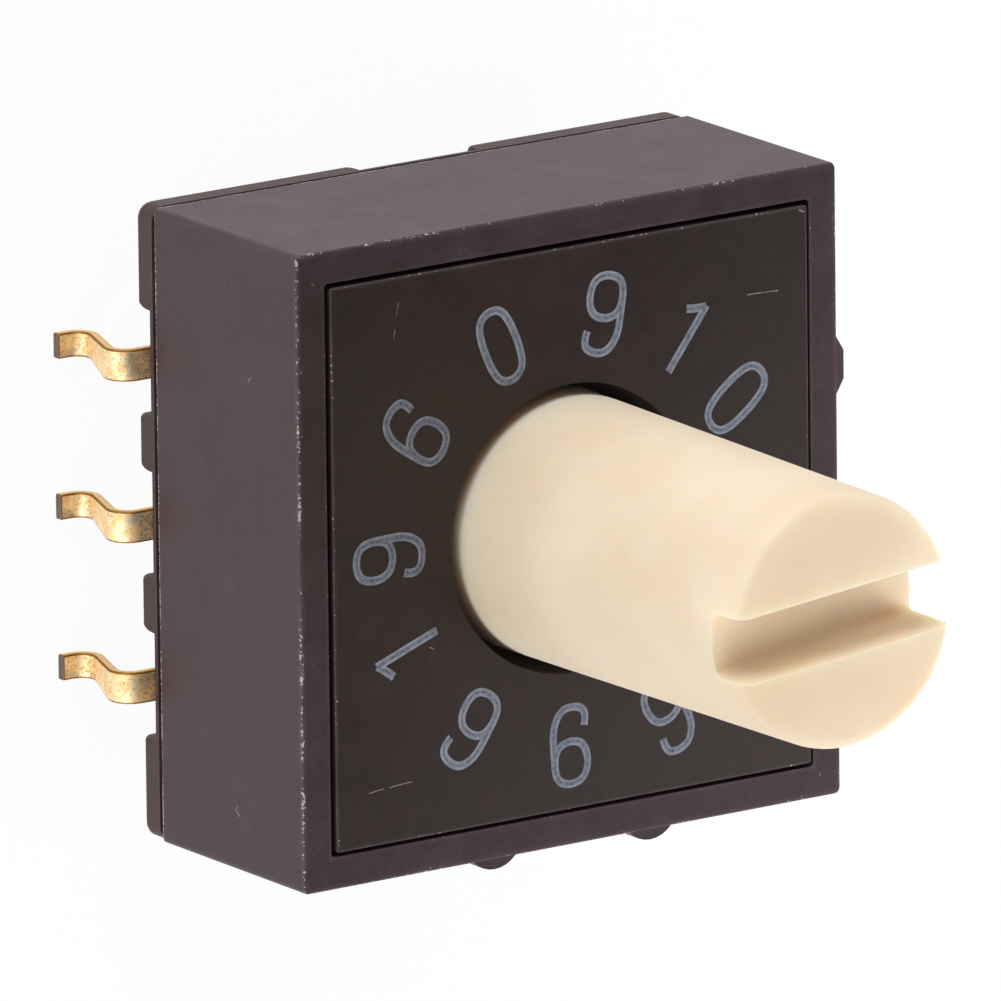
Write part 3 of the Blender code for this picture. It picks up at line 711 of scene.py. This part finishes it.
def finishNode(name, finish):
    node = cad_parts[name]
    piece = node.copy()
    piece.data = node.data.copy()
    piece.name = name + "_finished"
    for key in [key for key in piece.keys() if key.startswith("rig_")]:
        del piece[key]
    piece.parent = None
    bpy.context.scene.collection.objects.link(piece)
    selectOnly(piece)
    bpy.ops.object.mode_set(mode="EDIT")
    bpy.ops.mesh.select_all(action="SELECT")
    bpy.ops.mesh.remove_doubles(threshold=meshFinish["merge"] * mm)
    bpy.ops.mesh.dissolve_limited(angle_limit=math.radians(meshFinish["flatAngle"]))
    bpy.ops.object.mode_set(mode="OBJECT")
    piece.data.materials.clear()
    piece.data.materials.append(materials[finish["material"]])
    if "edge" in finish:
        piece.data.materials.append(materials[finish["edge"]])
    if name == "base":
        roundFeet(piece)
    if "rounding" in finish:
        rounding = piece.modifiers.new("edgeRounding", "BEVEL")
        rounding.width = finish["rounding"] * mm
        rounding.segments = meshFinish["roundingSegments"]
        rounding.limit_method = "ANGLE"
        rounding.angle_limit = math.radians(meshFinish["sharpAngle"])
        rounding.use_clamp_overlap = True
        rounding.material = 1 if "edge" in finish else -1
        bpy.ops.object.modifier_apply(modifier=rounding.name)
    bpy.ops.object.shade_smooth_by_angle(angle=math.radians(meshFinish["smoothAngle"]))
    if name == "rotor_shaft":
        shadeShaft(piece)
    elif finish["material"].endswith("Moulding"):
        flat = piece.modifiers.new("flatFaces", "WEIGHTED_NORMAL")
        flat.keep_sharp = True
        bpy.ops.object.modifier_apply(modifier=flat.name)
    body = "rotor" if name in ("rotor_shaft", "code_disc") else "case"
    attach(piece, body)
    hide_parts(name)


for nodeName, finish in nodeFinishes.items():
    finishNode(nodeName, finish)
print("nodes finished")

# Numbers printed on the dial plate, each stroke a band of ink with a thinner band on its middle.
# Each shape is a list of points in mm about the number's middle, upright; the loop and the oval
# are closed. Each mark gives its number, the place of its middle on the plate in mm, and the
# direction of its top in degrees.
digits = {
    "size": 0.96,  # of the shapes below
    "stroke": 0.14,  # mm
    "thinStroke": 0.07,  # mm, the thin ink down the middle of a stroke
    "proud": 0.004,  # mm
    "thinProud": 0.0055,  # mm
    "loop": (
        (0.33, 0.28), (0.26, 0.56), (0.0, 0.64), (-0.26, 0.56),
        (-0.34, 0.28), (-0.26, -0.01), (0.0, -0.1), (0.26, -0.01),
    ),
    "tail": (
        (0.315, 0.3), (0.32, 0.0), (0.31, -0.36), (0.14, -0.63),
        (-0.14, -0.65), (-0.35, -0.52), (-0.29, -0.29),
    ),
    "oval": (
        (0.31, 0.25), (0.23, 0.55), (0.0, 0.64), (-0.23, 0.55), (-0.31, 0.25),
        (-0.31, -0.25), (-0.23, -0.55), (0.0, -0.64), (0.23, -0.55), (0.31, -0.25),
    ),
    "flag": ((-0.31, 0.38), (-0.14, 0.48), (0.0, 0.6)),
    "stem": ((0.0, 0.62), (0.0, 0.0), (0.0, -0.62)),
    "marks": (
        ("0", 3.06, 1.58, 37.0),
        ("1", 2.16, 2.65, 52.4),
        ("9", 0.62, 3.28, 80.4),
        ("0", -1.30, 3.06, 112.5),
        ("6", -2.88, 1.92, 146.0),
        ("9", -3.41, 0.06, 181.0),
        ("1", -3.10, -1.41, 199.8),
        ("6", -1.92, -2.86, 235.5),
        ("9", -0.10, -3.42, 273.0),
        ("6", 1.74, -3.20, 299.0),
        ("0", 2.88, -1.80, 328.0),
        ("9", 3.40, -0.18, 357.0),
    ),
}
# Scratches and nicks that show on the dial plate, the rim and the left wall: start and end in mm
# along the face, and width. Across the left wall the first measure runs towards -Y and the second
# along Z.
scratches = {
    "plate": (
        (3.28, 3.17, 3.86, 3.15, 0.02),
        (-3.83, -3.57, -3.55, -3.54, 0.012),
        (-3.45, -3.54, -3.03, -3.51, 0.018),
        (-3.17, 4.03, -3.22, 3.8, 0.01),
        (-3.24, 3.62, -3.27, 3.47, 0.012),
        (-2.68, -1.46, -2.6, -1.49, 0.014),
        (4.26, 4.36, 4.36, 4.31, 0.03),
    ),
    "rim": (
        (-4.72, 4.53, -4.68, 4.5, 0.026),
        (-4.94, 3.16, -4.92, 3.2, 0.03),
        (4.6, -4.66, 4.63, -4.62, 0.02),
    ),
    "leftWall": (
        (-2.87, 4.6, -2.79, 4.51, 0.022),
        (-2.79, 4.51, -2.75, 4.53, 0.014),
        (-1.4, 3.16, -1.37, 3.19, 0.018),
        (3.97, 4.08, 4.04, 4.02, 0.018),
        (4.04, 4.02, 4.13, 4.15, 0.022),
    ),
}
scratchBow = 0.008  # mm that a scratch's middle stands off its straight line
leftWall = 5.0  # mm from the axis
strokeCurve = {
    "order": 3,
    "steps": 8,  # between two points
    "roundSteps": 2,
    "merge": 0.0001,  # mm
}


def addStrokes(name, strokes, width, proud, placing, material):
    data = bpy.data.curves.new(name, "CURVE")
    data.dimensions = "3D"
    data.bevel_depth = width / 2 * mm
    data.bevel_resolution = strokeCurve["roundSteps"]
    data.use_fill_caps = True
    data.resolution_u = strokeCurve["steps"]
    for points, closed in strokes:
        spline = data.splines.new("NURBS")
        spline.points.add(len(points) - 1)
        for point, (x, y) in zip(spline.points, points):
            point.co = (x * mm, y * mm, 0.0, 1.0)
        spline.order_u = strokeCurve["order"]
        spline.use_endpoint_u = not closed
        spline.use_cyclic_u = closed
    strokesPiece = bpy.data.objects.new(name, data)
    bpy.context.scene.collection.objects.link(strokesPiece)
    selectOnly(strokesPiece)
    bpy.ops.object.convert(target="MESH")
    flat = Matrix.Diagonal((1.0, 1.0, proud / width, 1.0))
    strokesPiece.data.transform(placing @ flat)
    bpy.ops.object.mode_set(mode="EDIT")
    bpy.ops.mesh.select_all(action="SELECT")
    bpy.ops.mesh.remove_doubles(threshold=strokeCurve["merge"] * mm)
    bpy.ops.mesh.normals_make_consistent(inside=False)
    bpy.ops.object.mode_set(mode="OBJECT")
    bpy.ops.object.shade_smooth()
    strokesPiece.data.materials.clear()
    strokesPiece.data.materials.append(material)
    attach(strokesPiece, "case")


def digitStrokes(character):
    if character == "0":
        return [(digits["oval"], True)]
    if character == "1":
        return [(digits["stem"], False), (digits["flag"], False)]
    strokes = [(digits["loop"], True), (digits["tail"], False)]
    if character == "6":
        strokes = [([(-x, -y) for x, y in points], closed) for points, closed in strokes]
    return strokes


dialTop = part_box("dial_plate")[1].z
inkHeight = dialTop + digits["proud"] / 2 * mm
upright = 90  # degrees, the direction of an upright number's top
for index, (character, x, y, top) in enumerate(digits["marks"]):
    placing = (
        Matrix.Translation((x * mm, y * mm, inkHeight))
        @ Matrix.Rotation(math.radians(top - upright), 4, "Z")
        @ Matrix.Diagonal((digits["size"], digits["size"], 1.0, 1.0))
    )
    strokes = digitStrokes(character)
    for layer, width, proud, ink in (
        ("ink", digits["stroke"], digits["proud"], "printInk"),
        ("thin_ink", digits["thinStroke"], digits["thinProud"], "thinInk"),
    ):
        name = f"dial_mark_{index + 1}_{layer}"
        addStrokes(name, strokes, width, proud, placing, materials[ink])

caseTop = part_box("housing")[1].z
wallTurn = Matrix(((0.0, 0.0, -1.0), (-1.0, 0.0, 0.0), (0.0, 1.0, 0.0))).to_4x4()
faces = {
    "plate": Matrix.Translation((0.0, 0.0, dialTop)),
    "rim": Matrix.Translation((0.0, 0.0, caseTop)),
    "leftWall": Matrix.Translation((-leftWall * mm, 0.0, 0.0)) @ wallTurn,
}
for face, lines in scratches.items():
    for index, (startX, startY, endX, endY, width) in enumerate(lines):
        middle = ((startX + endX) / 2, (startY + endY) / 2 + scratchBow)
        addStrokes(
            f"{face}_scratch_{index + 1}",
            [(((startX, startY), middle, (endX, endY)), False)],
            width,
            digits["proud"],
            faces[face],
            materials["bareScratch"],
        )
print("dial printed")

# Camera as in the photo: from the switch's left and a little above, 0.41 m off, with a long lens
camera = {
    "place": (-226.78207, 102.45633, 332.78133),  # mm
    "right": (0.8215504, -0.0109328, 0.5700311),
    "up": (0.1502972, 0.9686032, -0.1980369),
    "lens": 969.4077,  # mm
    "sensor": 36.0,  # mm
    "nearest": 0.02,  # m
    "farthest": 5.0,  # m
}
cameraData = bpy.data.cameras.new("photoCamera")
cameraData.lens = camera["lens"]
cameraData.sensor_width = camera["sensor"]
cameraData.clip_start = camera["nearest"]
cameraData.clip_end = camera["farthest"]
photoCamera = bpy.data.objects.new("photoCamera", cameraData)
bpy.context.scene.collection.objects.link(photoCamera)
right = Vector(camera["right"]).normalized()
up = Vector(camera["up"])
up = (up - right * up.dot(right)).normalized()
back = right.cross(up)
turned = Matrix((right, up, back)).transposed().to_4x4()
photoCamera.matrix_world = Matrix.Translation(Vector(camera["place"]) * mm) @ turned
bpy.context.scene.camera = photoCamera

# Studio: a large soft lamp over the photo's top, a small one low on its right and close by, which
# leaves the front's upper left darker, soft ones on the left and from below, a white surround, and
# a dark card just over the shaft that only gloss shows. The card's reflection in the front ends at
# a line across the dial.
studio = {
    "lamps": {  # places and sizes in mm, power in W
        "topLamp": {"place": (-60, 260, 40), "size": 240, "power": 0.7, "glossy": True},
        "rightLamp": {"place": (27, -13, 36), "size": 24, "power": 0.0116, "glossy": False},
        "leftLamp": {"place": (-260, 20, 10), "size": 200, "power": 0.19, "glossy": True},
        "lowLamp": {"place": (-130, -190, 40), "size": 160, "power": 0.32, "glossy": True},
    },
    "lampTarget": (0, 0, 4),  # mm
    "cardPlace": (-3.7, 7.2, 15),  # mm
    "cardSize": 30,  # mm
    "cardTurn": 45.0,  # degrees
    "cardColour": "#0d0c0c",
    "cardRoughness": 0.9,
    "surround": 0.3,  # strength of the surround's light on the switch
    "shadowShare": 0.05,  # of the paper's own light and shade, so that the floor keeps the shadow
    "floorSize": 1.2,  # m
    "floorDrop": 0.02,  # mm under the feet
    "white": "#ffffff",
}


def addLamp(name, lamp):
    data = bpy.data.lights.new(name, "AREA")
    data.shape = "DISK"
    data.size = lamp["size"] * mm
    data.energy = lamp["power"]
    holder = bpy.data.objects.new(name, data)
    holder.visible_glossy = lamp["glossy"]
    bpy.context.scene.collection.objects.link(holder)
    holder.location = Vector(lamp["place"]) * mm
    aim = Vector(studio["lampTarget"]) * mm - holder.location
    holder.rotation_euler = aim.to_track_quat("-Z", "Y").to_euler()


for lampName, lamp in studio["lamps"].items():
    addLamp(lampName, lamp)

bpy.ops.mesh.primitive_plane_add(
    size=studio["cardSize"] * mm, location=Vector(studio["cardPlace"]) * mm
)
card = bpy.context.object
card.name = "dark_card"
card.rotation_euler = (0.0, 0.0, math.radians(studio["cardTurn"]))
card.visible_camera = False
card.visible_diffuse = False
card.visible_shadow = False
card.visible_transmission = False
cardMaterial, cardTree, cardShader = startMaterial("darkCard", {})[:3]
cardInputs = {"Base Color": linear(studio["cardColour"]), "Roughness": studio["cardRoughness"]}
setInputs(cardTree, cardShader, cardInputs)
card.data.materials.append(cardMaterial)


def seenDirectly(tree):
    # 1 for what the camera sees, also in gloss or through glass, and 0 for the light on the switch
    path = addNode(tree, "ShaderNodeLightPath")
    seen = path.outputs["Is Camera Ray"]
    for ray in ("Is Glossy Ray", "Is Transmission Ray"):
        either = addNode(
            tree, "ShaderNodeMath", {"operation": "MAXIMUM"}, n0=seen, n1=path.outputs[ray]
        )
        seen = either.outputs[0]
    return seen


white = linear(studio["white"])
world = bpy.data.worlds.new("whiteStudio")
bpy.context.scene.world = world
world.use_nodes = True
worldTree = world.node_tree
worldTree.nodes.clear()
whiteness = addNode(
    worldTree,
    "ShaderNodeMapRange",
    Value=seenDirectly(worldTree),
    To_Min=studio["surround"],
    To_Max=1.0,
)
background = addNode(
    worldTree, "ShaderNodeBackground", Color=white, Strength=whiteness.outputs["Result"]
)
addNode(worldTree, "ShaderNodeOutputWorld", Surface=background.outputs["Background"])

bpy.ops.mesh.primitive_plane_add(
    size=studio["floorSize"], location=(0, 0, -studio["floorDrop"] * mm)
)
floor = bpy.context.object
floor.name = "studio_floor"
floorMaterial = bpy.data.materials.new("palePaperFloor")
floorMaterial.use_nodes = True
floorTree = floorMaterial.node_tree
floorTree.nodes.clear()
paper = addNode(floorTree, "ShaderNodeBsdfDiffuse", Color=white)
glow = addNode(floorTree, "ShaderNodeEmission", Color=white, Strength=1.0)
glowShare = addNode(
    floorTree,
    "ShaderNodeMapRange",
    Value=seenDirectly(floorTree),
    To_Min=0.0,
    To_Max=1.0 - studio["shadowShare"],
)
paperMix = addNode(
    floorTree,
    "ShaderNodeMixShader",
    n0=glowShare.outputs["Result"],
    n1=paper.outputs["BSDF"],
    n2=glow.outputs["Emission"],
)
addNode(floorTree, "ShaderNodeOutputMaterial", Surface=paperMix.outputs["Shader"])
floor.data.materials.append(floorMaterial)
print("studio set")

bpy.context.scene.view_settings.view_transform = "Standard"
